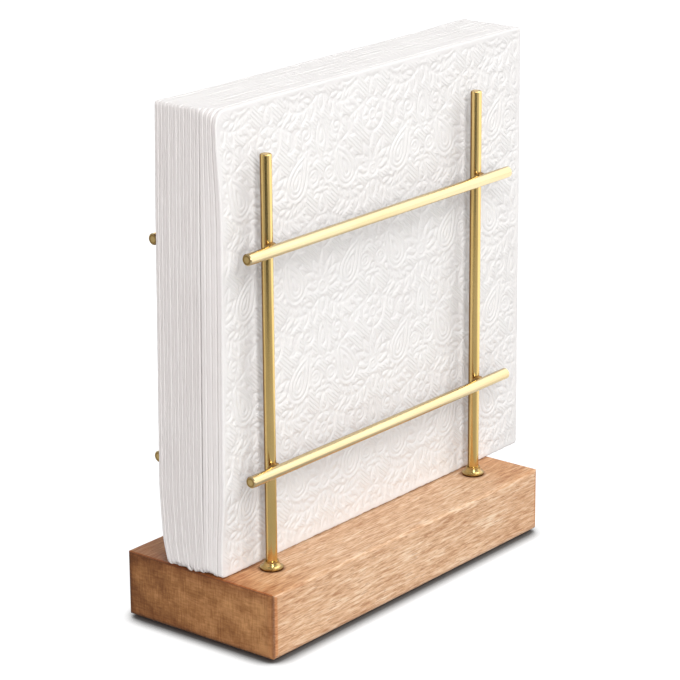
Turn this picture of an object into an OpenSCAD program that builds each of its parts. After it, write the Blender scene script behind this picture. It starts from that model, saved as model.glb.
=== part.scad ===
// Countertop napkin holder: a hardwood block that carries two brass rod frames, with folded paper
// napkins standing between them. The origin is under the block's centre, on the surface it rests
// on. +X runs along the block, -Y is the front, +Z is up. All sizes are in millimetres.

/* [Base block] */
// Length of the wooden block
block_l = 152; // [130:1:220]
// Depth of the wooden block, front to back
block_w = 65.5; // [56:0.5:100]
// Thickness of the wooden block
block_h = 23.5; // [18:0.5:40]
// Radius of the block's four upright corners
corner_r = 2.5; // [1.5:0.5:8]
// Radius sanded on the block's top edges
edge_r = 1.2; // [0.4:0.1:1.4]
// Radius on the block's bottom edges, which are sanded rounder
foot_r = 2.2; // [1.6:0.1:2.4]
// Thickness of the felt glued under the block
felt_t = 1; // [0.5:0.25:3]
// How far the felt stays in from the block's edges
felt_inset = 3; // [2:0.5:8]

/* [Rod frames] */
// Diameter of the brass rod
rod_d = 4; // [3:0.25:5]
// Bevel left where a rod is cut off square
rod_bevel = 0.3; // [0.1:0.1:0.6]
// Distance between the two posts of one frame, centre to centre
post_pitch = 114.5; // [90:0.5:125]
// Height of the posts above the block
post_h = 143.2; // [125:0.1:170]
// Length of each crossbar
bar_l = 143.5; // [132:0.5:165]
// Height of the lower crossbar's centre above the block
lower_bar_h = 35.7; // [15:0.1:60]
// Height of the upper crossbar's centre above the block
upper_bar_h = 111.6; // [70:0.1:120]
// How deep a crossbar is sunk into a post where they are brazed together
braze_sink = 0.3; // [0.1:0.05:0.6]
// Radius of the bead of braze round a crossing
bead_r = 2.5; // [1.8:0.1:3.2]

/* [Collars] */
// Diameter of the flared collar where a post meets the block
collar_d = 8; // [6.5:0.5:11]
// Height of the collar
collar_h = 3; // [2:0.25:5]
// Height of the collar's upright rim
rim_h = 0.8; // [0.4:0.1:1.2]
// Wall of the collar at its top, round the rod
neck_wall = 0.5; // [0.3:0.1:1]

/* [Fixing under the block] */
// Play all round a post in its hole through the block
hole_play = 0.1; // [0.05:0.05:0.5]
// Diameter of the recess that takes the washer and nut
recess_d = 12; // [11:0.5:16]
// Depth of that recess
recess_depth = 7; // [6:0.5:10]
// Outer diameter of the washer
washer_d = 9; // [8.5:0.5:10.5]
// Thickness of the washer
washer_t = 0.8; // [0.5:0.1:1.2]
// Nut size across its flats
nut_af = 7; // [6.5:0.5:8]
// Thickness of the nut
nut_t = 3.2; // [2.2:0.1:3.6]
// How far the rod's threaded end stands out of the nut
thread_out = 1; // [0.5:0.1:1.2]

/* [Napkins] */
// Number of folded napkins that stand in the holder
napkin_n = 16; // [6:1:20]
// Width of a folded napkin
napkin_w = 170; // [120:1:190]
// Height of a folded napkin
napkin_h = 159.4; // [120:0.1:180]
// Thickness of a folded napkin
napkin_t = 1.5; // [1:0.1:2.5]
// Radius of a napkin's folded corner, where its two folds meet
fold_corner_r = 2; // [1:0.5:6]
// Height over which the rear collars press the napkins' feet together
press_h = 10; // [6:0.5:30]
// Free room in front of the napkins, to pull one out
pull_gap = 4.5; // [4.2:0.1:12]
// Play of the front napkin against the next one, and of the last one against the rear frame
napkin_play = 0.3; // [0.1:0.05:0.8]
// How far the napkins stand off the block's centre, to the right
pack_shift = 8.8; // [-15:0.1:15]

/* [Hidden] */
$fn = 64;
SIDES = ["front", "rear"];
ENDS = ["left", "right"];
LEVELS = ["lower", "upper"];
napkin_name = [for (i = [1:napkin_n]) str("napkin_", i < 10 ? "0" : "", i)];

brass = [0.72, 0.58, 0.32];
steel = [0.62, 0.62, 0.6];
oak = [0.80, 0.60, 0.40];
felt = [0.18, 0.16, 0.15];
tissue = [0.95, 0.94, 0.93];

rod_r = rod_d / 2;
block_top = felt_t + block_h;
recess_top = felt_t + recess_depth;

// The frames stand as far apart as the napkins need, with the room to pull one out
frame_gap = napkin_n * napkin_t + 2 * napkin_play + pull_gap;
post_x = post_pitch / 2;
post_y = frame_gap / 2 + rod_r;
post_foot = recess_top - washer_t - nut_t - thread_out;

// How far the rims of the rear collars push the last napkin forward, at its foot
press_in = (collar_d / 2 - rod_r) * press_h / (press_h - rim_h);

// A crossbar lies outside its posts, sunk a little into them
bar_step = rod_d - braze_sink;
bar_h = [lower_bar_h, upper_bar_h];

// How far a cutter reaches past the face that it opens
past = 1;

// Sign of a side or an end along its own axis
function way(k) = 2 * k - 1;

// Rectangle centred on the origin, with round corners
module rounded_rect(l, w, r) {
    square([l - 2 * r, w], center = true);
    square([l, w - 2 * r], center = true);
    for (sx = [-1, 1], sy = [-1, 1])
        translate([sx * (l / 2 - r), sy * (w / 2 - r)]) circle(r);
}

// Straight piece of rod along +Z from the origin, both ends cut square and bevelled
module rod(length) {
    rotate_extrude() polygon([
        [0, 0], [rod_r - rod_bevel, 0], [rod_r, rod_bevel],
        [rod_r, length - rod_bevel], [rod_r - rod_bevel, length], [0, length]
    ]);
}

// Puts its children at the foot of each post, at height z
module at_posts(z) {
    for (s = [0, 1], e = [0, 1]) translate([way(e) * post_x, way(s) * post_y, z]) children();
}

// One side of the block, seen square on: rounder at its foot than at its top
module block_side(l) {
    square([l - 2 * foot_r, block_h], center = true);
    translate([-l / 2, foot_r - block_h / 2]) square([l, block_h - foot_r - edge_r]);
    translate([edge_r - l / 2, 0]) square([l - 2 * edge_r, block_h / 2]);
    for (sx = [-1, 1]) {
        translate([sx * (l / 2 - foot_r), foot_r - block_h / 2]) circle(foot_r);
        translate([sx * (l / 2 - edge_r), block_h / 2 - edge_r]) circle(edge_r);
    }
}

// Block sawn square, its upright corners and its edges sanded round, drilled for the posts
module wood_block() color(oak) difference() {
    translate([0, 0, felt_t + block_h / 2]) intersection() {
        linear_extrude(block_h, center = true) rounded_rect(block_l, block_w, corner_r);
        rotate([90, 0, 0]) linear_extrude(block_w, center = true) block_side(block_l);
        rotate([90, 0, 90]) linear_extrude(block_l, center = true) block_side(block_w);
    }
    at_posts(felt_t - past) {
        cylinder(h = block_h + 2 * past, r = rod_r + hole_play);
        cylinder(h = recess_depth + past, d = recess_d);
    }
}

// Felt sheet under the block, punched where the nuts are tightened
module felt_liner() color(felt) difference() {
    linear_extrude(felt_t)
        rounded_rect(block_l - 2 * felt_inset, block_w - 2 * felt_inset, corner_r);
    at_posts(-past) cylinder(h = felt_t + 2 * past, d = recess_d);
}

// Post of side s and end e, from its threaded foot in the nut up to its free top
module post(s, e) color(brass)
    translate([way(e) * post_x, way(s) * post_y, post_foot])
        rod(block_top + post_h - post_foot);

// Flared collar: an upright rim, then a hollow curve that sweeps up to the rod
module collar(s, e) {
    rim_r = collar_d / 2;
    neck_r = rod_r + neck_wall;
    flare = [for (a = [0:15:90]) [
        rim_r - (rim_r - neck_r) * sin(a),
        collar_h - (collar_h - rim_h) * cos(a)
    ]];
    color(brass) translate([way(e) * post_x, way(s) * post_y, block_top])
        rotate_extrude() polygon(concat(
            [[rod_r, 0], [rim_r, 0]], flare, [[rod_r, collar_h]]
        ));
}

// Crossbar of side s at level l, notched where it seats against its two posts
module crossbar(s, l) color(brass) difference() {
    translate([-bar_l / 2, way(s) * (post_y + bar_step), block_top + bar_h[l]])
        rotate([0, 90, 0]) rod(bar_l);
    for (e = [0, 1]) translate([way(e) * post_x, way(s) * post_y, block_top + bar_h[l]])
        cylinder(h = 2 * rod_d, r = rod_r, center = true);
}

// Bead of braze that fills the corners round each crossing of a frame
module brazing(s) color(brass) for (e = [0, 1], l = [0, 1])
    translate([way(e) * post_x, way(s) * (post_y + bar_step / 2), block_top + bar_h[l]])
        difference() {
            sphere(bead_r);
            translate([0, -way(s) * bar_step / 2, 0])
                cylinder(h = 4 * bead_r, r = rod_r, center = true);
            translate([0, way(s) * bar_step / 2, 0]) rotate([0, 90, 0])
                cylinder(h = 4 * bead_r, r = rod_r, center = true);
        }

module fixing_washers() color(steel) at_posts(recess_top - washer_t) difference() {
    cylinder(h = washer_t, d = washer_d);
    translate([0, 0, -past]) cylinder(h = washer_t + 2 * past, r = rod_r + hole_play);
}

// Hexagon nuts whose corners are turned off, as on any machined nut
module fixing_nuts() color(steel) at_posts(recess_top - washer_t - nut_t) {
    across_corners = nut_af / cos(30);
    crown = (across_corners - nut_af) / 2 * tan(30);
    difference() {
        intersection() {
            cylinder(h = nut_t, d = across_corners, $fn = 6);
            rotate_extrude() polygon([
                [0, 0], [nut_af / 2, 0], [across_corners / 2, crown],
                [across_corners / 2, nut_t - crown], [nut_af / 2, nut_t], [0, nut_t]
            ]);
        }
        translate([0, 0, -past]) cylinder(h = nut_t + 2 * past, r = rod_r);
    }
}

// Napkin i counted from the front. Its folds are the round top edge and left edge, and its loose
// leaves end square at the bottom and on the right. From the second napkin on, the pressed foot
// leans a little further forward and is a little thinner.
module napkin(i) {
    r = napkin_t / 2;
    play = i == 1 ? 0 : napkin_play;
    front_y = -frame_gap / 2 + pull_gap + (i - 1) * napkin_t + play;
    front_in = press_in * max(i - 2, 0) / (napkin_n - 1);
    rear_in = i == 1 ? 0 : press_in * (i - 1) / (napkin_n - 1);
    color(tissue) translate([pack_shift, front_y + r, block_top]) {
        intersection() {
            rotate([90, 0, 90]) linear_extrude(napkin_w, center = true) {
                translate([-r, press_h]) square([napkin_t, napkin_h - press_h - r]);
                translate([0, napkin_h - r]) circle(r);
            }
            linear_extrude(napkin_h) {
                translate([-napkin_w / 2 + r, -r]) square([napkin_w - r, napkin_t]);
                translate([-napkin_w / 2 + r, 0]) circle(r);
            }
            rotate([90, 0, 0]) linear_extrude(napkin_t, center = true) {
                translate([-napkin_w / 2 + fold_corner_r, 0])
                    square([napkin_w - fold_corner_r, napkin_h]);
                translate([-napkin_w / 2, 0]) square([napkin_w, napkin_h - fold_corner_r]);
                translate([-napkin_w / 2 + fold_corner_r, napkin_h - fold_corner_r])
                    circle(fold_corner_r);
            }
        }
        rotate([90, 0, 90]) linear_extrude(napkin_w, center = true) polygon([
            [-r - front_in, 0], [r - rear_in, 0], [r, press_h], [-r, press_h]
        ]);
    }
}

wood_block();
felt_liner();
for (s = [0, 1], e = [0, 1])
    post(s, e);
for (s = [0, 1], e = [0, 1])
    collar(s, e);
for (s = [0, 1], l = [0, 1])
    crossbar(s, l);
for (s = [0, 1])
    brazing(s);
fixing_washers();
fixing_nuts();
for (i = [1:napkin_n])
    napkin(i);
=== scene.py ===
import math

import bpy
import numpy as np
from mathutils import Matrix, Vector


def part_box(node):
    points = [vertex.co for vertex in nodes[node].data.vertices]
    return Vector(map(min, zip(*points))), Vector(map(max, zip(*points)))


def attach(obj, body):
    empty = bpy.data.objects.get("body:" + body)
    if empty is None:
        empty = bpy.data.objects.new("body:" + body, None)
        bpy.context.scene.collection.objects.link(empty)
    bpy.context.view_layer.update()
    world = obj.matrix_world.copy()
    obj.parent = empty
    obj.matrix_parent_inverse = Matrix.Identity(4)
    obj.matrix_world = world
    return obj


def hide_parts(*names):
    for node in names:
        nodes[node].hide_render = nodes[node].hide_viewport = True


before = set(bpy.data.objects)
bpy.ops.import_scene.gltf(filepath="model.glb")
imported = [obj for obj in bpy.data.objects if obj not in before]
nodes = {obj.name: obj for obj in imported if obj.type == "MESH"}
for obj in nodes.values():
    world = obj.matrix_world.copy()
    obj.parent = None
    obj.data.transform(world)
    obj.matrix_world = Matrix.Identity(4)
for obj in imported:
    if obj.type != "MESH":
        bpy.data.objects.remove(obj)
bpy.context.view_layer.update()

MM = 0.001

# ---- Base block ---------------------------------------------------------------------------------
# One solid piece of pale hardwood, sawn square, sanded round on its edges and wiped with oil. The
# grain runs along the block. The cut ends drink more oil, so they are darker and redder.
block_low, block_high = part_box("wood_block")
# each post stands this far from the block's middle, in millimetres
post_x, post_y = 57.25, 16.55


def add(tree, kind, props=None, ins=None):
    """Puts a node in a tree, with its settings, and its inputs as values or as sockets to join."""
    made = tree.nodes.new(kind)
    for name, value in (props or {}).items():
        setattr(made, name, value)
    for name, value in (ins or {}).items():
        if isinstance(value, bpy.types.NodeSocket):
            tree.links.new(value, made.inputs[name])
        else:
            made.inputs[name].default_value = value
    return made


def sums(tree, operation, first, second=0.0):
    """One step of arithmetic on two values."""
    return add(tree, "ShaderNodeMath", {"operation": operation},
               {0: first, 1: second}).outputs[0]


def times(tree, first, second):
    return sums(tree, "MULTIPLY", first, second)


def weighed(tree, *parts):
    """The sum of some values, each times its own weight."""
    total = times(tree, *parts[0])
    for value, weight in parts[1:]:
        total = sums(tree, "ADD", total, times(tree, value, weight))
    return total


def split(tree, vector):
    """The three measures of a place or a direction."""
    return add(tree, "ShaderNodeSeparateXYZ", None, {0: vector}).outputs


def facing_of(tree):
    """Which way the surface faces."""
    return split(tree, add(tree, "ShaderNodeNewGeometry").outputs["Normal"])


def blank_finish(name):
    """A new material, with its tree, its shader, and the piece's own coordinates in millimetres."""
    finish = bpy.data.materials.new(name)
    finish.use_nodes = True
    tree = finish.node_tree
    shader = tree.nodes["Principled BSDF"]
    place = add(tree, "ShaderNodeTexCoord").outputs["Object"]
    in_mm = add(tree, "ShaderNodeVectorMath", {"operation": "SCALE"}, {0: place, "Scale": 1000.0})
    return finish, tree, shader, in_mm.outputs[0]


def grain(tree, place, scale, offset=(0, 0, 0), detail=2.0, roughness=0.5, turn=(0, 0, 0)):
    """Noise drawn out by a different amount along each axis, from 0 to 1."""
    moved = add(tree, "ShaderNodeMapping", None,
                {"Vector": place, "Scale": scale, "Location": offset, "Rotation": turn})
    return add(tree, "ShaderNodeTexNoise", None, {
        "Vector": moved.outputs[0], "Scale": 1.0, "Detail": detail, "Roughness": roughness,
    }).outputs["Fac"]


def smooth_step(tree, value, low, high):
    """Rises smoothly from 0 at low to 1 at high."""
    return add(tree, "ShaderNodeMapRange", {"interpolation_type": "SMOOTHSTEP"},
               {"Value": value, "From Min": low, "From Max": high}).outputs[0]


def fade_out(tree, value, low, high):
    """Falls smoothly from 1 at low to 0 at high."""
    return sums(tree, "SUBTRACT", 1.0, smooth_step(tree, value, low, high))


def off_from(tree, value, middle):
    """How far a value is from a middle one, on either side."""
    return sums(tree, "ABSOLUTE", sums(tree, "SUBTRACT", value, middle))


def length_of(tree, first, second):
    """The length of a line from its two measures at right angles."""
    return sums(tree, "POWER", weighed(tree, (first, first), (second, second)), 0.5)


def ramp(tree, value, stops):
    """A row of colours along a value."""
    made = add(tree, "ShaderNodeValToRGB", None, {"Fac": value})
    band = made.color_ramp
    while len(band.elements) < len(stops):
        band.elements.new(0.5)
    for element, (at, colour) in zip(band.elements, stops):
        element.position = at
        element.color = (*colour, 1)
    return made.outputs["Color"]


def blend_colours(tree, share, first, second, how="MIX"):
    """Goes from the first colour to the second, or to the first one multiplied by it."""
    made = add(tree, "ShaderNodeMix", {"data_type": "RGBA", "blend_type": how}, {"Factor": share})
    for socket, value in ((made.inputs[6], first), (made.inputs[7], second)):
        if isinstance(value, bpy.types.NodeSocket):
            tree.links.new(value, socket)
        else:
            socket.default_value = (*value, 1)
    return made.outputs[2]


def roughen(tree, shader, value, low, high):
    """Makes a finish smoother or rougher from place to place."""
    tree.links.new(add(tree, "ShaderNodeMapRange", None, {
        "Value": value, "To Min": low, "To Max": high}).outputs[0], shader.inputs["Roughness"])


def emboss(tree, shader, height, strength, depth):
    """Relief too fine for the mesh, up to a depth in millimetres."""
    tree.links.new(add(tree, "ShaderNodeBump", None, {
        "Strength": strength, "Distance": depth * MM, "Height": height}).outputs[0],
        shader.inputs["Normal"])


def long_grain(tree, place):
    """The faces' colour along the grain, with its flecks and its dark pores."""
    tilt = (0.0, math.radians(-2.2), math.radians(1.0))
    bands = grain(tree, place, (0.014, 0.13, 0.15), (3, 1, 5), 3.0, 0.55, tilt)
    streaks = grain(tree, place, (0.05, 0.48, 0.52), (7, 2, 1), 3.0, 0.6, tilt)
    flecks = grain(tree, place, (0.17, 1.45, 1.6), (1, 9, 4), 2.0, 0.6, tilt)
    pores = grain(tree, place, (0.24, 2.0, 2.2), (5, 5, 2), 1.0, 0.5, tilt)
    tone = weighed(tree, (bands, 0.22), (streaks, 0.30), (flecks, 0.48))
    colour = ramp(tree, tone, [
        (0.36, (0.52, 0.26, 0.13)), (0.44, (0.68, 0.41, 0.24)),
        (0.53, (0.81, 0.53, 0.33)), (0.63, (0.96, 0.75, 0.55)),
    ])
    dark_pore = smooth_step(tree, pores, 0.56, 0.66)
    colour = blend_colours(tree, times(tree, dark_pore, 0.45), colour, (0.42, 0.18, 0.08))
    pale_ray = smooth_step(tree, sums(tree, "SUBTRACT", 1.0, pores), 0.58, 0.68)
    colour = blend_colours(tree, times(tree, pale_ray, 0.30), colour, (1.0, 0.80, 0.62))
    return colour, flecks, dark_pore


def end_grain(tree, place, mottle, y):
    """The cut ends' colour: blotches, crossed by upright and level lines, darker to the rear."""
    upright = grain(tree, place, (0.5, 1.7, 0.22), (6, 3, 0), 2.0, 0.6)
    level = grain(tree, place, (0.5, 0.25, 1.5), (1, 3, 5), 2.0, 0.6)
    tone = weighed(tree, (mottle, 0.50), (upright, 0.28), (level, 0.22), (y, -0.0028))
    return ramp(tree, tone, [
        (0.36, (0.21, 0.080, 0.024)), (0.5, (0.40, 0.180, 0.062)), (0.64, (0.62, 0.32, 0.13)),
    ])


def soaked_oil(tree, mottle, x, y):
    """A tint for the top, whose ends drank more oil, most of all the left one."""
    reach = weighed(tree, (x, 1.0), (y, -0.25), (mottle, 10.0))
    share = add(tree, "ShaderNodeMapRange", None, {
        "Value": reach, "From Min": -76.0, "From Max": 84.0}).outputs[0]
    return ramp(tree, share, [
        (0.03, (0.48, 0.30, 0.17)), (0.06, (0.66, 0.44, 0.27)), (0.10, (0.80, 0.62, 0.45)),
        (0.22, (0.87, 0.82, 0.76)), (0.32, (0.89, 0.88, 0.87)), (0.86, (0.89, 0.88, 0.87)),
        (0.96, (0.79, 0.65, 0.52)),
    ])


def painted_contact_shade(tree, x, y):
    """Painted contact shade on the top: round the collars and along the foot of the front napkin,
    darkest beside the left collar."""
    collar_rim, napkin_foot, darkest = 4.0, -10.3, -61.0
    from_post = length_of(tree, *(off_from(tree, sums(tree, "ABSOLUTE", place), post)
                                  for place, post in ((x, post_x), (y, post_y))))
    ring = fade_out(tree, from_post, collar_rim, collar_rim + 1.4)
    seam = fade_out(tree, off_from(tree, y, napkin_foot), 0.2, 1.2)
    paler = smooth_step(tree, off_from(tree, x, darkest), 4.0, 10.0)
    seam = times(tree, seam, sums(tree, "SUBTRACT", 1.0, times(tree, paler, 0.6)))
    return sums(tree, "MAXIMUM", ring, seam)


def oiled_hardwood():
    """Long grain on the faces, end grain on the ends, soaked-in oil, worn edges and painted shade.
    """
    finish, tree, shader, place = blank_finish("oiled_hardwood")
    axes, facing = split(tree, place), facing_of(tree)
    turned_out = sums(tree, "ABSOLUTE", facing[0])
    on_end = smooth_step(tree, turned_out, 0.5, 0.8)
    on_top = smooth_step(tree, facing[2], 0.6, 0.9)
    mottle = grain(tree, place, (0.3, 0.10, 0.13), (2, 8, 8), 4.0, 0.6)

    colour, flecks, dark_pore = long_grain(tree, place)
    soaked = soaked_oil(tree, mottle, axes[0], axes[1])
    colour = blend_colours(tree, sums(tree, "ADD", 0.3, times(tree, on_top, 0.7)), colour,
                           blend_colours(tree, 1.0, colour, soaked, "MULTIPLY"))
    # painted contact shade round the collars and along the front napkin's foot
    contact_shade = times(tree, on_top, painted_contact_shade(tree, axes[0], axes[1]))
    colour = blend_colours(tree, times(tree, contact_shade, 0.62), colour,
                           blend_colours(tree, 1.0, colour, (0.34, 0.22, 0.16), "MULTIPLY"))
    colour = blend_colours(tree, on_end, colour, end_grain(tree, place, mottle, axes[1]))

    # the ends are stained along their borders, and the long edges are rubbed pale
    edge_w, edge_skin, stain_w, stain_skin = 0.9, 0.1, 5.5, 0.3
    near, border = [], []
    for axis in (1, 2):
        middle = (block_high[axis] + block_low[axis]) / 2 / MM
        half = (block_high[axis] - block_low[axis]) / 2 / MM
        off = off_from(tree, axes[axis], middle)
        near.append(smooth_step(tree, off, half - edge_w, half - edge_skin))
        border.append(smooth_step(tree, off, half - stain_w, half - stain_skin))
    stained = times(tree, on_end, times(tree, sums(tree, "MAXIMUM", *border), 0.75))
    colour = blend_colours(tree, stained, colour, blend_colours(
        tree, 1.0, colour, (0.62, 0.50, 0.44), "MULTIPLY"))
    # painted shade on the ends' round edges: a dark line, set by their facing, and a warmer rim
    colour = blend_colours(tree, 1.0, colour, ramp(tree, turned_out, [
        (0.02, (1, 1, 1)), (0.12, (0.93, 0.74, 0.56)), (0.42, (0.80, 0.58, 0.42)),
        (0.58, (0.45, 0.36, 0.32)), (0.72, (0.62, 0.56, 0.52)), (0.90, (1, 1, 1)),
    ]), "MULTIPLY")
    worn = times(tree, times(tree, *near), smooth_step(tree, flecks, 0.42, 0.62))
    colour = blend_colours(tree, times(tree, worn, 0.6), colour, (0.90, 0.66, 0.46))
    tree.links.new(colour, shader.inputs["Base Color"])
    shader.inputs["Specular IOR Level"].default_value = 0.3
    roughen(tree, shader, flecks, 0.66, 0.5)
    emboss(tree, shader, weighed(tree, (flecks, 0.6), (dark_pore, -0.7)), 0.7, 0.12)
    return finish


def dress(node, finish):
    """Gives a piece that came from the drawing its finish."""
    if not nodes[node].data.materials:
        nodes[node].data.materials.append(finish)
    for place in nodes[node].material_slots:
        place.material = finish


dress("wood_block", oiled_hardwood())

# ---- Felt sheet ---------------------------------------------------------------------------------
# Pressed wool felt, die-cut a little smaller than the block, punched at the four nut recesses and
# glued under the block. Its cut edge is fuzzy with loose fibres.
felt_low, felt_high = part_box("felt_liner")
felt_corner, felt_hole_r, felt_softness = 2.5 * MM, 6 * MM, 0.15 * MM


def pressed_felt():
    """Matted dark wool."""
    finish, tree, shader, place = blank_finish("pressed_felt")
    wool = grain(tree, place, (1.4, 1.4, 1.4), (0, 0, 0), 4.0, 0.7)
    tree.links.new(ramp(tree, wool, [
        (0.3, (0.022, 0.018, 0.016)), (0.7, (0.065, 0.055, 0.05))]), shader.inputs["Base Color"])
    shader.inputs["Roughness"].default_value = 0.95
    shader.inputs["Sheen Weight"].default_value = 0.35
    emboss(tree, shader, wool, 0.9, 0.3)
    return finish


def round_corners(width, depth, radius, steps=8):
    """Points round a rectangle with round corners, centred on the origin."""
    points = []
    for quarter, (sx, sy) in enumerate(((1, 1), (-1, 1), (-1, -1), (1, -1))):
        for step in range(steps + 1):
            angle = math.pi / 2 * (quarter + step / steps)
            points.append((sx * (width / 2 - radius) + radius * math.cos(angle),
                           sy * (depth / 2 - radius) + radius * math.sin(angle)))
    return points


def put_in(name, data):
    """A new object in the scene, with its mesh, curve, lamp or lens."""
    made = bpy.data.objects.new(name, data)
    bpy.context.scene.collection.objects.link(made)
    return made


def plain_mesh(source, name):
    """The evaluated shape of an object, as a new object with no modifiers."""
    view = bpy.context.evaluated_depsgraph_get()
    mesh = bpy.data.meshes.new_from_object(source.evaluated_get(view), depsgraph=view)
    bpy.data.objects.remove(source, do_unlink=True)
    return put_in(name, mesh)


def felt_cut():
    """The sheet with its four punched holes, as a thick flat curve with softened edges."""
    drawing = bpy.data.curves.new("felt_cut", "CURVE")
    drawing.dimensions = "2D"
    drawing.fill_mode = "BOTH"
    drawing.extrude = (felt_high.z - felt_low.z) / 2 - felt_softness
    drawing.bevel_depth = felt_softness
    drawing.offset = -felt_softness
    drawing.bevel_resolution = 1
    cuts = [round_corners(felt_high.x - felt_low.x, felt_high.y - felt_low.y, felt_corner)]
    hole_points = 40
    turns = [2 * math.pi * step / hole_points for step in range(hole_points)]
    for sx in (-1, 1):
        for sy in (-1, 1):
            cuts.append([(sx * post_x * MM + felt_hole_r * math.cos(turn),
                          sy * post_y * MM + felt_hole_r * math.sin(turn)) for turn in turns])
    for cut in cuts:
        line = drawing.splines.new("POLY")
        line.points.add(len(cut) - 1)
        for point, (x, y) in zip(line.points, cut):
            point.co = (x, y, 0, 1)
        line.use_cyclic_u = True
    return put_in("felt_cut", drawing)


def new_tree(name, inputs):
    """A geometry tree with an input for the shape and one for each named size."""
    tree = bpy.data.node_groups.new(name, "GeometryNodeTree")
    tree.interface.new_socket("Geometry", in_out="INPUT", socket_type="NodeSocketGeometry")
    for label, kind in inputs:
        tree.interface.new_socket(label, in_out="INPUT", socket_type="NodeSocket" + kind)
    tree.interface.new_socket("Geometry", in_out="OUTPUT", socket_type="NodeSocketGeometry")
    return tree, add(tree, "NodeGroupInput")


def run_tree(target, tree, values):
    """Puts a tree on an object, with its sizes."""
    modifier = target.modifiers.new(tree.name, "NODES")
    modifier.node_group = tree
    for item in tree.interface.items_tree:
        if item.item_type == "SOCKET" and item.in_out == "INPUT" and item.name in values:
            modifier[item.identifier] = values[item.name]


def close_tree(tree, geometry, finish):
    """Ends a tree with plain geometry in its finish."""
    real = add(tree, "GeometryNodeRealizeInstances", None, {"Geometry": geometry})
    set_finish = add(tree, "GeometryNodeSetMaterial", None, {"Geometry": real.outputs[0]})
    set_finish.inputs["Material"].default_value = finish
    add(tree, "NodeGroupOutput", None, {"Geometry": set_finish.outputs[0]})


def fuzz_tree(finish):
    """Loose fibres that stand out of the felt's cut edge."""
    tree, sizes = new_tree("felt_fuzz", [
        ("Fibres per m2", "Float"), ("Fibre length", "Float"), ("Fibre radius", "Float"),
        ("Seed", "Int")])
    facing = split(tree, add(tree, "GeometryNodeInputNormal").outputs[0])
    on_edge = add(tree, "FunctionNodeCompare", {"data_type": "FLOAT", "operation": "LESS_THAN"},
                  {0: sums(tree, "ABSOLUTE", facing[2]), 1: 0.3})
    spots = add(tree, "GeometryNodeDistributePointsOnFaces", None, {
        "Mesh": sizes.outputs["Geometry"], "Selection": on_edge.outputs[0],
        "Density": sizes.outputs["Fibres per m2"], "Seed": sizes.outputs["Seed"]})
    tip = add(tree, "ShaderNodeCombineXYZ", None, {"Z": sizes.outputs["Fibre length"]})
    strand = add(tree, "GeometryNodeCurvePrimitiveLine", None, {"End": tip.outputs[0]})
    section = add(tree, "GeometryNodeCurvePrimitiveCircle", None,
                  {"Resolution": 3, "Radius": sizes.outputs["Fibre radius"]})
    fibre = add(tree, "GeometryNodeCurveToMesh", None, {
        "Curve": strand.outputs[0], "Profile Curve": section.outputs[0], "Fill Caps": True})
    sway = add(tree, "FunctionNodeRandomValue", {"data_type": "FLOAT_VECTOR"}, {
        0: (-0.9, -0.9, 0.0), 1: (0.9, 0.9, 6.28), "Seed": sizes.outputs["Seed"]})
    turned = add(tree, "FunctionNodeRotateRotation", {"rotation_space": "LOCAL"}, {
        0: spots.outputs["Rotation"], 1: sway.outputs[0]})
    planted = add(tree, "GeometryNodeInstanceOnPoints", None, {
        "Points": spots.outputs["Points"], "Instance": fibre.outputs[0],
        "Rotation": turned.outputs[0]})
    joined = add(tree, "GeometryNodeJoinGeometry")
    tree.links.new(sizes.outputs["Geometry"], joined.inputs[0])
    tree.links.new(planted.outputs[0], joined.inputs[0])
    close_tree(tree, joined.outputs[0], finish)
    return tree


felt_finish = pressed_felt()
felt_flat = plain_mesh(felt_cut(), "felt_flat")
felt_flat.data.transform(Matrix.Translation((0, 0, (felt_low.z + felt_high.z) / 2)))
run_tree(felt_flat, fuzz_tree(felt_finish), {
    "Fibres per m2": 3.2e6, "Fibre length": 0.45 * MM, "Fibre radius": 0.018 * MM, "Seed": 4})
felt_sheet = plain_mesh(felt_flat, "felt_sheet")
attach(felt_sheet, "holder")
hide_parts("felt_liner")

# ---- Posts and crossbars ------------------------------------------------------------------------
# Drawn brass rod, 4 mm across, cut square and lightly bevelled, then brushed lengthways and
# lacquered. Two posts and two crossbars make each frame.
rod_r, bar_y, bar_z = 2.0, 20.25, (60.2, 136.1)


def blank_metal(name):
    """A new material for a metal."""
    finish, tree, shader, place = blank_finish(name)
    shader.inputs["Metallic"].default_value = 1.0
    return finish, tree, shader, place


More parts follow.
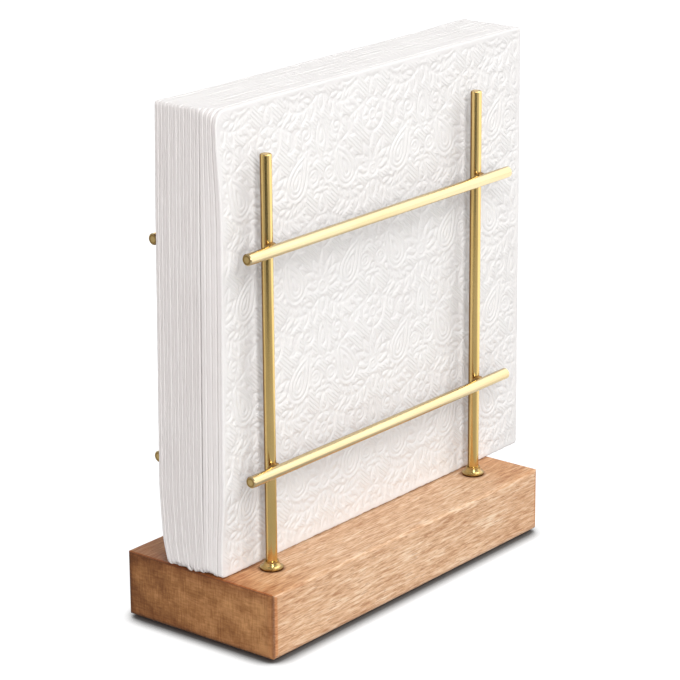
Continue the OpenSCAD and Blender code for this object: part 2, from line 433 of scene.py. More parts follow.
def drawn_brass(name, along, dull, clear, middles):
    """Satin brass whose fine scratches run along one axis. The middles of its rods, on the other
    two axes, place the ring that the saw leaves on each cut end."""
    finish, tree, shader, place = blank_metal(name)
    fine = tuple(0.10 if axis == along else 9.0 for axis in range(3))
    broad = tuple(0.03 if axis == along else 0.25 for axis in range(3))
    scratches = grain(tree, place, fine, (3, 3, 3), 2.0, 0.6)
    cloud = grain(tree, place, broad, (8, 1, 2), 3.0, 0.5)
    bright = ramp(tree, cloud, [(0.3, dull), (0.7, clear)])
    # painted dark reflection: the side towards the napkins is darkened
    spot, facing = split(tree, place), facing_of(tree)
    painted_dark_side = times(tree, sums(tree, "SIGN", spot[1]), times(tree, facing[1], -1.0))
    colour = blend_colours(tree, smooth_step(tree, painted_dark_side, 0.05, 0.3), bright, (0.20, 0.10, 0.03))
    off = []
    for axis, places in middles:
        away = [off_from(tree, sums(tree, "ABSOLUTE", spot[axis]), middle) for middle in places]
        off.append(sums(tree, "MINIMUM", away[0], away[-1]))
    radius = sums(tree, "DIVIDE", length_of(tree, *off), rod_r)
    on_cut = smooth_step(tree, sums(tree, "ABSOLUTE", facing[along]), 0.8, 0.95)
    colour = blend_colours(tree, on_cut, colour, ramp(tree, radius, [
        (0.30, (0.90, 0.66, 0.27)), (0.48, (0.82, 0.58, 0.22)), (0.60, (0.46, 0.30, 0.10)),
        (0.76, (0.52, 0.34, 0.12)), (0.86, (0.82, 0.60, 0.26)),
    ]))
    tree.links.new(colour, shader.inputs["Base Color"])
    roughen(tree, shader, scratches, 0.13, 0.25)
    shader.inputs["Specular Tint"].default_value = (0.87, 0.81, 0.71, 1)
    shader.inputs["Coat Weight"].default_value = 0.15
    shader.inputs["Coat Roughness"].default_value = 0.12
    emboss(tree, shader, scratches, 0.35, 0.03)
    return finish


upright_brass = drawn_brass("brass_drawn_upright", 2, (0.71, 0.50, 0.175), (0.79, 0.58, 0.24),
                            ((0, [post_x]), (1, [post_y])))
level_brass = drawn_brass("brass_drawn_level", 0, (0.67, 0.535, 0.30), (0.74, 0.61, 0.37),
                          ((1, [bar_y]), (2, bar_z)))
for side in ("front", "rear"):
    for end in ("left", "right"):
        dress(f"{side}_{end}_post", upright_brass)
    for level in ("lower", "upper"):
        dress(f"{side}_{level}_bar", level_brass)

# ---- Threads on the posts' feet -----------------------------------------------------------------
# Each post's foot is cut with an M4 thread of 0.7 mm pitch, which takes the nut under the block.
# Only the turns below the nut are seen, so only they are made: one small ridge on each post.
thread_foot, thread_pitch, thread_turns, thread_depth = 3.25 * MM, 0.7 * MM, 1.2, 0.16 * MM


def thread_tree(finish):
    """A ridge that winds round a rod's surface, at each point of a mesh."""
    tree, sizes = new_tree("rod_thread", [
        ("Rod radius", "Float"), ("Pitch", "Float"), ("Turns", "Float"), ("Depth", "Float")])
    height = times(tree, sizes.outputs["Pitch"], sizes.outputs["Turns"])
    helix = add(tree, "GeometryNodeCurveSpiral", None, {
        "Resolution": 32, "Rotations": sizes.outputs["Turns"],
        "Start Radius": sizes.outputs["Rod radius"], "End Radius": sizes.outputs["Rod radius"],
        "Height": height})
    ridge = add(tree, "GeometryNodeCurvePrimitiveCircle", None,
                {"Resolution": 4, "Radius": sizes.outputs["Depth"]})
    thread = add(tree, "GeometryNodeCurveToMesh", None, {
        "Curve": helix.outputs[0], "Profile Curve": ridge.outputs[0], "Fill Caps": True})
    placed = add(tree, "GeometryNodeInstanceOnPoints", None, {
        "Points": sizes.outputs["Geometry"], "Instance": thread.outputs[0]})
    close_tree(tree, placed.outputs[0], finish)
    return tree


feet = bpy.data.meshes.new("post_feet")
feet.from_pydata([(sx * post_x * MM, sy * post_y * MM, thread_foot)
                  for sx in (-1, 1) for sy in (-1, 1)], [], [])
feet_points = put_in("post_feet", feet)
run_tree(feet_points, thread_tree(upright_brass), {
    "Rod radius": rod_r * MM, "Pitch": thread_pitch, "Turns": thread_turns,
    "Depth": thread_depth})
threads = plain_mesh(feet_points, "post_threads")
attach(threads, "holder")

# ---- Collars ------------------------------------------------------------------------------------
# Flared feet, turned from brass bar and slid over the posts, down on the wood. The tool leaves
# fine rings in them, and the brass was left duller than the rods.


def turned_brass():
    """Brass from the lathe, with painted contact shade where it meets the wood."""
    finish, tree, shader, place = blank_metal("brass_turned")
    rings = grain(tree, place, (0.5, 0.5, 7.0), (2, 2, 2), 2.0, 0.5)
    bright = ramp(tree, grain(tree, place, (0.5, 0.5, 0.5), (4, 1, 0), 2.0, 0.5), [
        (0.3, (0.42, 0.295, 0.11)), (0.7, (0.57, 0.415, 0.165))])
    # painted contact shade: darker where the collar meets the wood
    foot_z = block_high.z / MM
    above_painted_shade = smooth_step(tree, split(tree, place)[2], foot_z + 0.2, foot_z + 0.9)
    tree.links.new(blend_colours(tree, above_painted_shade, (0.07, 0.035, 0.012), bright),
                   shader.inputs["Base Color"])
    shader.inputs["Roughness"].default_value = 0.24
    emboss(tree, shader, rings, 0.4, 0.04)
    return finish


collar_brass = turned_brass()
for side in ("front", "rear"):
    for end in ("left", "right"):
        dress(f"{side}_{end}_collar", collar_brass)

# ---- Braze beads --------------------------------------------------------------------------------
# The bars are brazed to the outer sides of the posts, with one bead at each crossing. The braze is
# redder than the rod, and was left as it ran.


def braze_metal():
    """Dull reddish metal, marked by the flame."""
    finish, tree, shader, place = blank_metal("braze")
    heat = grain(tree, place, (1.6, 1.6, 1.6), (1, 6, 3), 3.0, 0.6)
    tree.links.new(ramp(tree, heat, [
        (0.35, (0.16, 0.085, 0.03)), (0.65, (0.42, 0.27, 0.11))]), shader.inputs["Base Color"])
    shader.inputs["Roughness"].default_value = 0.34
    emboss(tree, shader, heat, 0.6, 0.12)
    return finish


braze = braze_metal()
for side in ("front", "rear"):
    dress(f"{side}_brazing", braze)

# ---- Washers and nuts ---------------------------------------------------------------------------
# Zinc-plated steel, sunk in the recesses under the block. The nuts turn on the posts' threads and
# draw the collars down on the wood.


def zinc_plate():
    """Grey plating with a faint spangle."""
    finish, tree, shader, place = blank_metal("zinc_plate")
    spangle = grain(tree, place, (0.9, 0.9, 0.9), (0, 4, 4), 3.0, 0.6)
    tree.links.new(ramp(tree, spangle, [
        (0.35, (0.50, 0.51, 0.50)), (0.65, (0.68, 0.68, 0.64))]), shader.inputs["Base Color"])
    roughen(tree, shader, spangle, 0.28, 0.45)
    return finish


zinc = zinc_plate()
for node in ("fixing_washers", "fixing_nuts"):
    dress(node, zinc)

# ---- Embossing of the napkins -------------------------------------------------------------------
# The tissue is rolled between engraved cylinders that press a repeating ornament into it: fans of
# petals, curled drops, rosettes and leafy sprays, on a ground of fine slanting lines.
repeat_w, repeat_h = 55.2, 70.0
line_w, drawn_size = 0.46, 0.92
cell, farthest = 0.2, 2.0


def spun(points, angle, centre=(0, 0)):
    """Points turned about the origin and then moved."""
    c, s = math.cos(angle), math.sin(angle)
    points = np.asarray(points, float)
    return points @ np.array([[c, s], [-s, c]]) + centre


def ring(centre, radius, steps=20):
    """A circle."""
    turn = np.linspace(0, 2 * math.pi, steps + 1)
    return np.stack([np.cos(turn), np.sin(turn)], 1) * radius + centre


def drop(centre, length, width, angle=0.0, curl=0.0, steps=30):
    """A drop with its point up, bent sideways towards the point."""
    turn = np.linspace(0, 2 * math.pi, steps + 1)
    y = length / 2 * np.cos(turn)
    x = width * 0.62 * np.sin(turn) * np.sin(turn / 2) ** 1.2
    x = x + curl * np.clip(y / length + 0.5, 0, 1) ** 2.5
    return spun(np.stack([x, y], 1), angle, centre)


def curl_line(centre, start_r, end_r, start, turns, steps=36):
    """A spiral that winds in from its first radius to its last."""
    share = np.linspace(0, 1, steps)
    radius = start_r + (end_r - start_r) * share
    turn = start + 2 * math.pi * turns * share
    return np.stack([np.cos(turn), np.sin(turn)], 1) * radius[:, None] + centre


def bowed(a, b, c, d, steps=24):
    """A smooth stem through the pull of four points."""
    t = np.linspace(0, 1, steps)[:, None]
    a, b, c, d = (np.asarray(p, float) for p in (a, b, c, d))
    return a * (1 - t) ** 3 + 3 * b * t * (1 - t) ** 2 + 3 * c * t ** 2 * (1 - t) + d * t ** 3


def spray(stem, leaves, longest, shortest, lean=0.9):
    """A stem with leaves on both sides, shorter towards its tip."""
    lines = [stem]
    for k in range(leaves):
        at = (k + 0.8) / leaves * (len(stem) - 2)
        here = stem[int(at)]
        ahead = stem[min(int(at) + 1, len(stem) - 1)] - here
        heading = math.atan2(ahead[1], ahead[0])
        size = longest + (shortest - longest) * k / max(leaves - 1, 1)
        for side in (-1, 1):
            out = heading + side * lean
            centre = here + np.array([math.cos(out), math.sin(out)]) * (size / 2 + 0.5)
            lines.append(drop(centre, size, size * 0.5, out - math.pi / 2, 0.0, 14))
    return lines


def ornament():
    """Every line of one ornament, on both sides of its own upright axis."""
    half = []
    base = np.array([0, -5.0])
    for k in range(1, 4):
        heading = np.array([math.sin(0.48 * k), math.cos(0.48 * k)])
        half.append(drop(base + heading * (8.6 - 0.7 * k), 11.5 - 1.4 * k, 4.4, -0.48 * k))
    half.append(drop((16.2, 1.6), 19, 11.4, -0.22, 5.0, 44))
    half.append(drop((16.0, 0.4), 13, 6.6, -0.22, 3.0, 36))
    half.append(drop((15.8, -0.9), 6.6, 2.6, -0.22, 1.2, 20))
    half += [ring(point, 0.35, 6)
             for point in drop((16.3, 2.0), 24.0, 16.0, -0.22, 6.2, 18)[3:-3]]
    half += spray(bowed((2.5, -9.5), (7, -15), (14, -16), (20.5, -11.5)), 4, 5.6, 4.0)
    half += spray(bowed((3.4, 22.5), (6, 19), (11, 20), (15.5, 15.0)), 3, 4.6, 3.4)
    half.append(curl_line((8.6, -23.0), 3.4, 0.8, 2.2, 1.5))
    half += [bowed((1.2, -19), (3, -23), (4, -28), (1.6, -32), 14)]
    half += spray(bowed((23.0, 4.5), (21, 9), (16.5, 10), (12.5, 13)), 2, 4.0, 3.2)
    half += [bowed((28.6, y), (27.4, y + 0.8), (26.6, y + 0.4), (25.6, y - 0.6), 8)
             for y in (-8.2, -6.4, 4.4, 6.2)]
    half += [ring((25.6, -1.5), 1.0, 10), ring((25.6, -1.5), 2.6)]
    mirrored = [line * (-1, 1) for line in half]
    middle = [ring(base, 0.9, 10), ring(base, 2.4), drop((0, 4.2), 11, 4.4),
              ring((0, 15.6), 0.8, 10), ring((0, 15.6), 2.4), ring((0, 15.6), 6.2, 28),
              drop((0, -12.5), 6.4, 3.6, math.pi), drop((0, 26.5), 7.5, 4.2),
              ring((0, 33.5), 1.3, 12), drop((0, -24.5), 6.5, 3.2)]
    middle += [bowed(*(spun((0, r), k * math.pi / 4) + (0, 15.6) for r in (3.3, 4, 4.6, 5.3)), 4)
               for k in range(8)]
    return [line * drawn_size for line in half + mirrored + middle]


def pressed_field():
    """For each cell of one repeat, the distance to the nearest line of the ornament. The ornament
    stands twice in a repeat, half a repeat apart both ways."""
    columns, rows = round(repeat_w / cell), round(repeat_h / cell)
    field = np.full((columns, rows), 9.0)
    reach = round(farthest / cell)
    lines = ornament()
    for part in (0.25, 0.75):
        for line in lines:
            line = line + (repeat_w * part, repeat_h * part)
            for a, b in zip(line[:-1], line[1:]):
                low = np.floor(np.minimum(a, b) / cell).astype(int) - reach
                high = np.ceil(np.maximum(a, b) / cell).astype(int) + reach
                i, j = np.meshgrid(np.arange(low[0], high[0]), np.arange(low[1], high[1]),
                                   indexing="ij")
                px, py = i * cell - a[0], j * cell - a[1]
                along = b - a
                share = np.clip((px * along[0] + py * along[1]) / max(along @ along, 1e-9), 0, 1)
                far = np.hypot(px - share * along[0], py - share * along[1])
                i, j = i % columns, j % rows
                field[i, j] = np.minimum(field[i, j], far)
    return field


field = pressed_field()


def distance_to_line(x, z):
    """Distance from points of a napkin's face to the nearest pressed line, in millimetres."""
    columns, rows = field.shape
    i, j = (x / cell) % columns, (z / cell) % rows
    i0, j0 = np.floor(i).astype(int), np.floor(j).astype(int)
    fi, fj = i - i0, j - j0
    i0, j0, i1, j1 = i0 % columns, j0 % rows, (i0 + 1) % columns, (j0 + 1) % rows
    return ((field[i0, j0] * (1 - fi) + field[i1, j0] * fi) * (1 - fj)
            + (field[i0, j1] * (1 - fi) + field[i1, j1] * fi) * fj)


def soft(value, low, high):
    """Rises smoothly from 0 at low to 1 at high."""
    share = np.clip((value - low) / (high - low), 0, 1)
    return share * share * (3 - 2 * share)


def embossed_tissue():
    """Soft white paper. The slanting ground lines show wherever the ornament leaves room."""
    finish, tree, shader, place = blank_finish("embossed_tissue")
    axes = split(tree, place)
    slant, pitch = math.radians(40), 1.26
    turn = 2 * math.pi / pitch
    phase = weighed(tree, (axes[0], turn * math.sin(slant)), (axes[2], turn * math.cos(slant)))
    lines = sums(tree, "SINE", phase)
    off_line, open_face = (add(tree, "ShaderNodeAttribute", {"attribute_name": name}).outputs["Fac"]
                           for name in ("off_line", "open_face"))
    ground = times(tree, open_face, smooth_step(tree, off_line, 0.75, 1.3))
    groove = times(tree, open_face, smooth_step(tree, off_line, 0.12, 0.62))
    fibres = grain(tree, place, (2.2, 2.2, 2.2), (0, 0, 0), 3.0, 0.7)
    cloud = grain(tree, place, (0.05, 0.05, 0.05), (4, 0, 2), 2.0, 0.5)
    tree.links.new(ramp(tree, cloud, [
        (0.3, (0.84, 0.82, 0.81)), (0.7, (0.865, 0.85, 0.84))]), shader.inputs["Base Color"])
    shader.inputs["Roughness"].default_value = 0.92
    shader.inputs["Specular IOR Level"].default_value = 0.25
    shader.inputs["Sheen Weight"].default_value = 0.08
    height = weighed(tree, (times(tree, lines, ground), 0.45), (fibres, 0.35), (groove, 0.8))
    emboss(tree, shader, height, 1.0, 0.16)
    return finish


# ---- Folded napkins -----------------------------------------------------------------------------
# Sixteen square paper napkins, each folded twice into four leaves. The second fold is the round
# top edge, the first one makes the two folds on the left, and the leaves' cut edges lie at the
# bottom and on the right. They stand on edge, and the rear collars push their feet forward.
tissue = embossed_tissue()
napkin_n, napkin_t = 16, 1.5
face_y, play = -10.05, 0.3
stand_z, napkin_w, napkin_h = 24.5, 170, 159.4
left_x, right_x = -77.2, 94.1
lean_left, lean_right = 2.7, -0.6
press_h, press_in = 10.0, 2.17
# how far the folds on the left and the cut edges stand out beyond the grid of a face
fold_l, cut = 0.34, 0.45
# the first four napkins are pushed to the right, the front one furthest, and bulge forward
loose_n, step_back, bulge = 4, 1.8, 1.4
loose_corner = (4.6, 3.6, 2.8, 2.0)
relief = 0.38
# a face that isn't fine has cells this many times as large
coarse = 8
# the rings across a napkin's thickness, from its front face to its rear one
across = np.array([0, .06, .19, .25, .31, .44, .5, .56, .69, .75, .81, .94, 1.0])


def ripple(draw, value, waves, size):
    """A smooth uneven line, from a few waves of different lengths."""
    total = np.zeros_like(value)
    for longest in waves:
        total = total + np.sin(value * 2 * math.pi / (longest * draw.uniform(0.8, 1.25))
                               + draw.uniform(0, 6.28))
    return total * size / len(waves)


def front_view(i, draw, a, b, fold_t, pushed):
    """The napkin seen from the front: the grid's points, its four edges, and the way out of its
    border. The grid's shares a and b run to the right and up."""
    corner = {0: loose_corner[i - 1] if i <= loose_n else draw.uniform(0.8, 1.3),
              1: draw.uniform(0.7, 1.1), 2: draw.uniform(0.7, 1.1), 3: draw.uniform(0.9, 1.6)}
    rise, run = b * napkin_h, a * napkin_w
    x0 = left_x + fold_l + lean_left * b + draw.uniform(-0.07, 0.07) + ripple(
        draw, rise, (60, 23, 9, 3.1), 0.08)
    x0 = x0 + pushed
    x1 = right_x - cut + lean_right * b + draw.uniform(-0.5, 0.4) + ripple(
        draw, rise, (70, 25), 0.15)
    z0 = stand_z + cut + draw.uniform(0.0, 0.2) + np.abs(ripple(draw, run, (50, 17, 6), 0.25))
    z0 = z0 + draw.uniform(0.0, 1.0) * np.exp(-run / 5)
    z1 = stand_z + napkin_h - fold_t - draw.uniform(0, 0.10) + ripple(draw, run, (90, 31), 0.08)
    x = x0 + (x1 - x0) * a
    z = z0 + (z1 - z0) * b

    # round corners: top left, top right, bottom right, bottom left
    out_x, out_z = np.zeros_like(x), np.zeros_like(z)
    out_x[0, :], out_x[-1, :], out_z[:, 0], out_z[:, -1] = -1, 1, -1, 1
    for which, (sx, sz) in enumerate(((-1, 1), (1, 1), (1, -1), (-1, -1))):
        r = corner[which]
        edge_x, edge_z = (x0 if sx < 0 else x1), (z0 if sz < 0 else z1)
        p, q = r - np.abs(x - edge_x), r - np.abs(z - edge_z)
        inside = (p > 0) & (q > 0)
        m, l = np.maximum(p, q), np.maximum(np.hypot(p, q), 1e-9)
        x = np.where(inside, edge_x - sx * (r - p * m / l), x)
        z = np.where(inside, edge_z - sz * (r - q * m / l), z)
        on_rim = inside & ((a == (0 if sx < 0 else 1)) | (b == (0 if sz < 0 else 1)))
        out_x = np.where(on_rim, sx * p / l, out_x)
        out_z = np.where(on_rim, sz * q / l, out_z)
    return x, z, (x0, x1, z0, z1), (out_x, out_z)


def end_view(i, x, up):
    """The napkin seen from its end: how deep its front and its rear face lie. The pack is pressed
    at its foot and fans out at its ends."""
    press = press_in * np.clip(1 - up / press_h, 0, 1) ** 1.3
    beyond = soft(-x, 58, 78) + 0.7 * soft(x, 60, 94)
    open_up = soft(up, 4, 30) * beyond
    depth = []
    for edge in (i - 1, i):
        base = face_y + edge * napkin_t + (play if i > 1 else 0.2 * edge)
        share = max(edge - 1, 0) / (napkin_n - 1)
        seam = 0.55 if edge >= loose_n and i > loose_n else 0.0
        fan = 1.0 * share + seam * (1 - 0.5 * soft(up, 120, 155))
        bow = bulge * max(0, 1 - edge / loose_n) * (0.25 + 0.75 * soft(up, 8, 30)) * (
            1 - 0.8 * soft(up, 120, 158)) * soft(-x, 55, 77)
        depth.append(base - (press * share if i > 1 else 0) + fan * open_up - bow)
    return depth


def rim(grid):
    """The values on a grid's border, counted round from the bottom left."""
    return np.concatenate([grid[:-1, 0], grid[-1, :-1], grid[:0:-1, -1], grid[0, :0:-1]])


def folded_edge(i, draw, x, z, y_front, y_rear, shift, out_x, out_z, fold_t):
    """The rings of points round the four leaves, from the front face's border to the rear one's:
    a round fold on top, two folds on the left, and cut edges on the right and at the foot."""
    lobes = np.where(out_x < 0, 1 + 0.15 * ripple(draw, z, (7, 2.9, 1.7), 1.0), 1.0)
    leaf_out = draw.uniform(-0.3, 0.3, (2, 4))
    torn = draw.uniform(0.0, 1.5, 2)
    at_torn = np.exp(-np.hypot(x - x.min(), z - z.min()) / 1.6)
    rows = [np.stack([x, y_front, z], 1)]
    for t in across[1:-1]:
        on_leaf = 0.0 if (t * 4) % 1 == 0 else 1.0
        leaf = min(int(t * 4), 3)
        bunch = math.sqrt(1 - abs(2 * t - 1) ** 4)
        pair = math.sqrt(max(0, 1 - ((t - (0.25 if t < 0.5 else 0.75)) / 0.25) ** 2))
        left = fold_l * (0.68 * bunch + 0.32 * pair)
        top = fold_t * math.sqrt(1 - abs(2 * t - 1) ** (2.2 if i == 1 else 3.4))
        right = on_leaf * (cut + leaf_out[0, leaf])
        foot = (cut - 0.1) * bunch + on_leaf * (0.12 + leaf_out[1, leaf] * 0.3)
        push_x = np.where(out_x < 0, out_x * left * lobes, out_x * right)
        push_z = np.where(out_z > 0, out_z * top, out_z * foot)
        lift = torn[int(t > 0.5)] * at_torn * (on_leaf + 0.3)
        rows.append(np.stack([x + shift * t + push_x, y_front + (y_rear - y_front) * t,
                              z + push_z + lift], 1))
    rows.append(np.stack([x + shift, y_rear, z], 1))
    return rows


def face_cells(number, us, vs, step, rim_index):
    """The cells of a coarse face. Those on its border take in every point of the fine ring."""
    nx, nz = us[-1], vs[-1]
    for m, u in enumerate(us[:-1]):
        for n, v in enumerate(vs[:-1]):
            loop = [number[m, n]]
            if v == 0:
                loop += [rim_index(u + d, 0) for d in range(1, step)]
            loop.append(number[m + 1, n])
            if u == nx - step:
                loop += [rim_index(nx, v + d) for d in range(1, step)]
            loop.append(number[m + 1, n + 1])
            if v == nz - step:
                loop += [rim_index(u + step - d, nz) for d in range(1, step)]
            loop.append(number[m, n + 1])
            if u == 0:
                loop += [rim_index(0, v + step - d) for d in range(1, step)]
            yield loop


def closed_skin(name, rows, front, rear, z, near_line, fade):
    """A napkin's mesh, from the rings round its edge and the grids of its two faces. Each face is
    its x, its y, and whether it is fine."""
    nx, nz = z.shape[0] - 1, z.shape[1] - 1
    verts, faces = list(rows), []
    around = len(rows[0])
    off_line = [np.full(around, 3.0)] * len(rows)
    open_face = [np.zeros(around)] * len(rows)
    count = len(rows) * around
    index = np.arange(around)
    after = (index + 1) % around
    for k in range(len(rows) - 1):
        faces += np.stack([k * around + index, (k + 1) * around + index,
                           (k + 1) * around + after, k * around + after], 1).tolist()

    for (x, y, fine), first in ((front, 0), (rear, (len(rows) - 1) * around)):
        def rim_index(u, v):
            if v == 0:
                return first + u
            if u == nx:
                return first + nx + v
            if v == nz:
                return first + nx + nz + nx - u
            return first + (2 * nx + nz + nz - v) % around

        step = 1 if fine else coarse
        us, vs = np.arange(0, nx + 1, step), np.arange(0, nz + 1, step)
        inner = np.ix_(us[1:-1], vs[1:-1])
        number = np.zeros((len(us), len(vs)), int)
        number[1:-1, 1:-1] = count + np.arange((len(us) - 2) * (len(vs) - 2)).reshape(
            len(us) - 2, len(vs) - 2)
        for m, u in enumerate(us):
            number[m, 0], number[m, -1] = rim_index(u, 0), rim_index(u, nz)
        for n, v in enumerate(vs):
            number[0, n], number[-1, n] = rim_index(0, v), rim_index(nx, v)
        count += (len(us) - 2) * (len(vs) - 2)
        verts.append(np.stack([x[inner], y[inner], z[inner]], 2).reshape(-1, 3))
        off_line.append(np.minimum(near_line[inner], 3.0).reshape(-1))
        open_face.append(fade[inner].reshape(-1) if fine else np.zeros(x[inner].size))
        if fine:
            cells = np.stack([number[:-1, :-1], number[1:, :-1], number[1:, 1:],
                              number[:-1, 1:]], 2).reshape(-1, 4).tolist()
        else:
            cells = face_cells(number, us, vs, step, rim_index)
        faces += [cell[::-1] if first else cell for cell in cells]

    mesh = bpy.data.meshes.new(name)
    mesh.from_pydata((np.concatenate(verts) * MM).tolist(), [], faces)
    for mark, values in (("off_line", off_line), ("open_face", open_face)):
        mesh.attributes.new(mark, "FLOAT", "POINT").data.foreach_set(
            "value", np.concatenate(values).astype(np.float32))
    mesh.polygons.foreach_set("use_smooth", np.ones(len(mesh.polygons), bool))
    mesh.update()
    return mesh


def fold_napkin(i, step, front_fine, rear_fine):
    """Napkin i, counted from the front, as one closed skin with cells of about one step."""
    draw = np.random.RandomState(100 + i)
    nx = coarse * round(napkin_w / step / coarse)
    nz = coarse * round(napkin_h / step / coarse)
    a, b = np.meshgrid(np.linspace(0, 1, nx + 1), np.linspace(0, 1, nz + 1), indexing="ij")
    fold_t = 0.6 if i == 1 else 0.2
    set_back = [step_back * max(0, 1 - edge / loose_n) ** 1.25 for edge in (i - 1, i)]
    settled = 1 - 0.8 * soft(b * napkin_h, 120, 155)
    x, z, (x0, x1, z0, z1), out = front_view(i, draw, a, b, fold_t, set_back[0] * settled)
    y_front, y_rear = end_view(i, x, z - stand_z)

    # pressed relief and soft swell, on the faces that can be seen
    near_line = distance_to_line(x + 200, z + 100 + 9 * (i % 3))
    inset = np.minimum(np.minimum(x - x0, x1 - x), z - z0)
    fade = soft(inset, 0.2, 2.5) * soft(z1 - z, 0.0, 2.5)
    fade = fade * (0.3 + 0.7 * soft(x - x0 + z1 - z, 3.0, 15.0))
    pressed = relief * np.exp(-(near_line / line_w) ** 2) * fade
    if front_fine:
        swell = 0.0
        if i == 1:
            swell = 0.1 + ripple(draw, x + 0.4 * z, (95, 44), 0.1) + ripple(
                draw, z - 0.3 * x, (80, 37), 0.08)
        y_front = y_front + pressed + swell * fade
    if rear_fine:
        y_rear = y_rear - pressed - 0.1 * fade

    # the rear face starts further left, because the front napkins' folds are pushed back in step
    x_rear = x - (set_back[0] - set_back[1]) * settled * np.clip(1 - (x - x0) / 9, 0, 1)
    rows = folded_edge(i, draw, rim(x), rim(z), rim(y_front), rim(y_rear), rim(x_rear) - rim(x),
                       rim(out[0]), rim(out[1]), fold_t)
    made = put_in(f"folded_napkin_{i:02d}", closed_skin(
        f"folded_napkin_{i:02d}", rows, (x, y_front, front_fine), (x_rear, y_rear, rear_fine),
        z, near_line, fade))
    made.data.materials.append(tissue)
    return made


fine_step, plain_step = 0.6, 1.2
for i in range(1, napkin_n + 1):
    seen_front, seen_rear = i in (1, 2), i == napkin_n
    napkin = fold_napkin(i, fine_step if seen_front or seen_rear else plain_step,
                         seen_front, seen_rear)
    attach(napkin, "front_napkin" if i == 1 else "napkin_pack")
    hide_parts(f"napkin_{i:02d}")

# ---- Table, light and camera --------------------------------------------------------------------
# A white sweep under the holder, a tall soft lamp at its front, a soft one on the right of that,
# and two weak ones above it and on its left.
contact, sweep_reach = 8 * MM, 3.0


def seen_straight(tree, path):
    """1 where the camera sees a surface itself, or through something clear, and not in a mirror."""
    return sums(tree, "MAXIMUM", path["Is Camera Ray"], path["Is Transmission Ray"])


def white_sweep():
    """Shines white wherever the sky is open, and keeps the dark line of contact under the block."""
    finish = bpy.data.materials.new("white_sweep")
    finish.use_nodes = True
    tree = finish.node_tree
    tree.nodes.clear()
    path = add(tree, "ShaderNodeLightPath").outputs
    seen = seen_straight(tree, path)
    open_sky = add(tree, "ShaderNodeAmbientOcclusion", {"samples": 16}, {"Distance": contact})
    clear = smooth_step(tree, open_sky.outputs["AO"], 0.38, 0.94)
    spot = split(tree, add(tree, "ShaderNodeTexCoord").outputs["Object"])
    # only mirrors see the sweep's right half glow: a painted reflection for the brass
    lit_right = smooth_step(tree, spot[0], 0.02, 0.24)
    glow = add(tree, "ShaderNodeEmission", None, {
        "Color": (1, 1, 1, 1), "Strength": weighed(
            tree, (times(tree, path["Is Glossy Ray"], lit_right), 1.1), (seen, clear))})
    paper_tone = sums(tree, "SUBTRACT", 0.5, times(tree, seen, 0.34))
    paper = add(tree, "ShaderNodeBsdfDiffuse", None, {
        "Color": add(tree, "ShaderNodeCombineColor", None, {
            0: paper_tone, 1: paper_tone, 2: paper_tone}).outputs[0]})
    both = add(tree, "ShaderNodeAddShader", None, {0: glow.outputs[0], 1: paper.outputs[0]})
    add(tree, "ShaderNodeOutputMaterial", None, {"Surface": both.outputs[0]})
    return finish


def flat_card(name, corners, finish):
    """A flat surface with four corners."""
    mesh = bpy.data.meshes.new(name)
    mesh.from_pydata(corners, [], [(0, 1, 2, 3)])
    mesh.materials.append(finish)
    return put_in(name, mesh)


sweep = flat_card("sweep", [(sx * sweep_reach, sy * sweep_reach, 0) for sx, sy in (
    (-1, -1), (1, -1), (1, 1), (-1, 1))], white_sweep())

# only the brass sees this dark card, which draws the thin dark stripe down each post
black = bpy.data.materials.new("black_card")
black.use_nodes = True
black.node_tree.nodes["Principled BSDF"].inputs["Base Color"].default_value = (0, 0, 0, 1)
black.node_tree.nodes["Principled BSDF"].inputs["Roughness"].default_value = 1.0
card_near, card_far, card_left, card_right, card_z = 0.44, 1.20, -77, -28, 2 * MM
card = flat_card("dark_card", [
    (far * math.sin(math.radians(turn)), -far * math.cos(math.radians(turn)), card_z)
    for far, turn in ((card_near, card_left), (card_far, card_left), (card_far, card_right),
                      (card_near, card_right))], black)
for kind in ("camera", "diffuse", "transmission", "shadow", "volume_scatter"):
    setattr(card, "visible_" + kind, False)


def lamp(name, place, aim, width, height, watts, colour=(1, 1, 1)):
    """A soft box that faces its aim."""
    data = bpy.data.lights.new(name, "AREA")
    data.shape = "RECTANGLE"
    data.size, data.size_y, data.energy, data.color = width, height, watts, colour
    made = put_in(name, data)
    made.location = place
    made.rotation_euler = (Vector(aim) - Vector(place)).to_track_quat("-Z", "Y").to_euler()


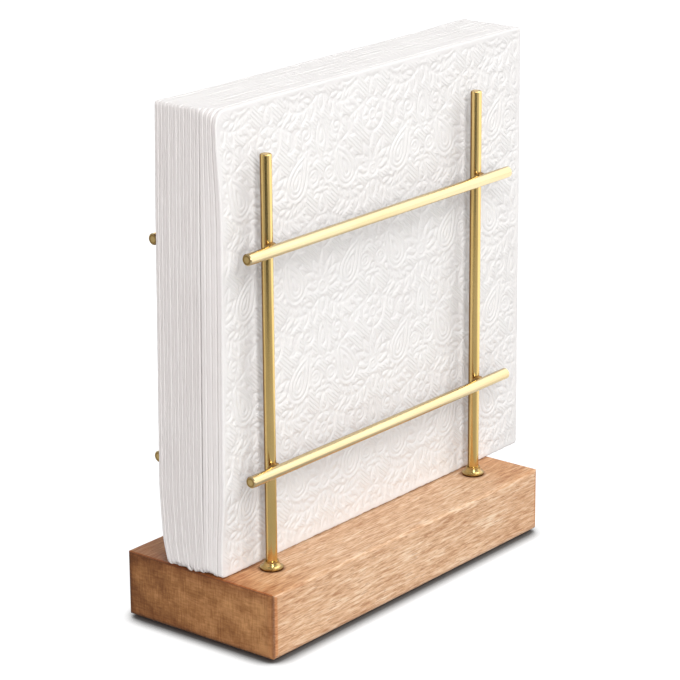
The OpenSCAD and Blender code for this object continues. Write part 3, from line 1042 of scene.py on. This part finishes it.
lamp("front_lamp", (-0.92, -1.31, 0.84), (0, 0, 0.12), 0.38, 1.40, 19.6)
lamp("right_lamp", (0.42, -0.78, 1.12), (0, 0, 0.1), 0.9, 0.9, 7.2)
lamp("overhead_lamp", (0.1, -0.1, 1.4), (0, 0, 0.18), 0.8, 0.8, 2.8)
lamp("left_lamp", (-1.3, 0.15, 0.55), (0, 0, 0.1), 0.9, 1.0, 1.95, (1.0, 0.70, 0.65))

sky_tone, wall_left, wall_right = 0.30, 0.45, 1.8
world = bpy.data.worlds.new("studio")
bpy.context.scene.world = world
world.use_nodes = True
sky = world.node_tree
sky.nodes.clear()
sky_path = add(sky, "ShaderNodeLightPath").outputs
heading = split(sky, add(sky, "ShaderNodeTexCoord").outputs["Generated"])
bright_wall = add(sky, "ShaderNodeMapRange", {"interpolation_type": "SMOOTHSTEP"}, {
    "Value": heading[0], "From Min": 0.2, "From Max": 0.7, "To Min": wall_left,
    "To Max": wall_right}).outputs[0]
mirrored = times(sky, sky_path["Is Glossy Ray"], sums(sky, "SUBTRACT", bright_wall, sky_tone))
sky_level = sums(sky, "ADD", sums(sky, "ADD", sky_tone, mirrored),
                 times(sky, seen_straight(sky, sky_path), 1 - sky_tone))
sky_light = add(sky, "ShaderNodeBackground", None, {"Color": (1, 1, 1, 1), "Strength": sky_level})
add(sky, "ShaderNodeOutputWorld", None, {"Surface": sky_light.outputs[0]})
bpy.context.scene.view_settings.view_transform = "Standard"

# the camera's place and turn are those that fit the photo's view of the holder
eye = (-0.72435, -0.58382, 0.38559)
azimuth, elevation, roll = (math.radians(turn) for turn in (-51.158, 17.784, -0.370))
back = Vector((math.sin(azimuth) * math.cos(elevation), -math.cos(azimuth) * math.cos(elevation),
               math.sin(elevation)))
right = (-back).cross(Vector((0, 0, 1))).normalized()
upward = right.cross(-back)
right, upward = (math.cos(roll) * right + math.sin(roll) * upward,
                 math.cos(roll) * upward - math.sin(roll) * right)
lens = bpy.data.cameras.new("camera")
lens.lens, lens.sensor_width = 148.68, 36
lens.clip_start, lens.clip_end = 0.05, 20
camera = put_in("camera", lens)
camera.matrix_world = Matrix.Translation(eye) @ Matrix(
    (right, upward, back)).transposed().to_4x4()
bpy.context.scene.camera = camera
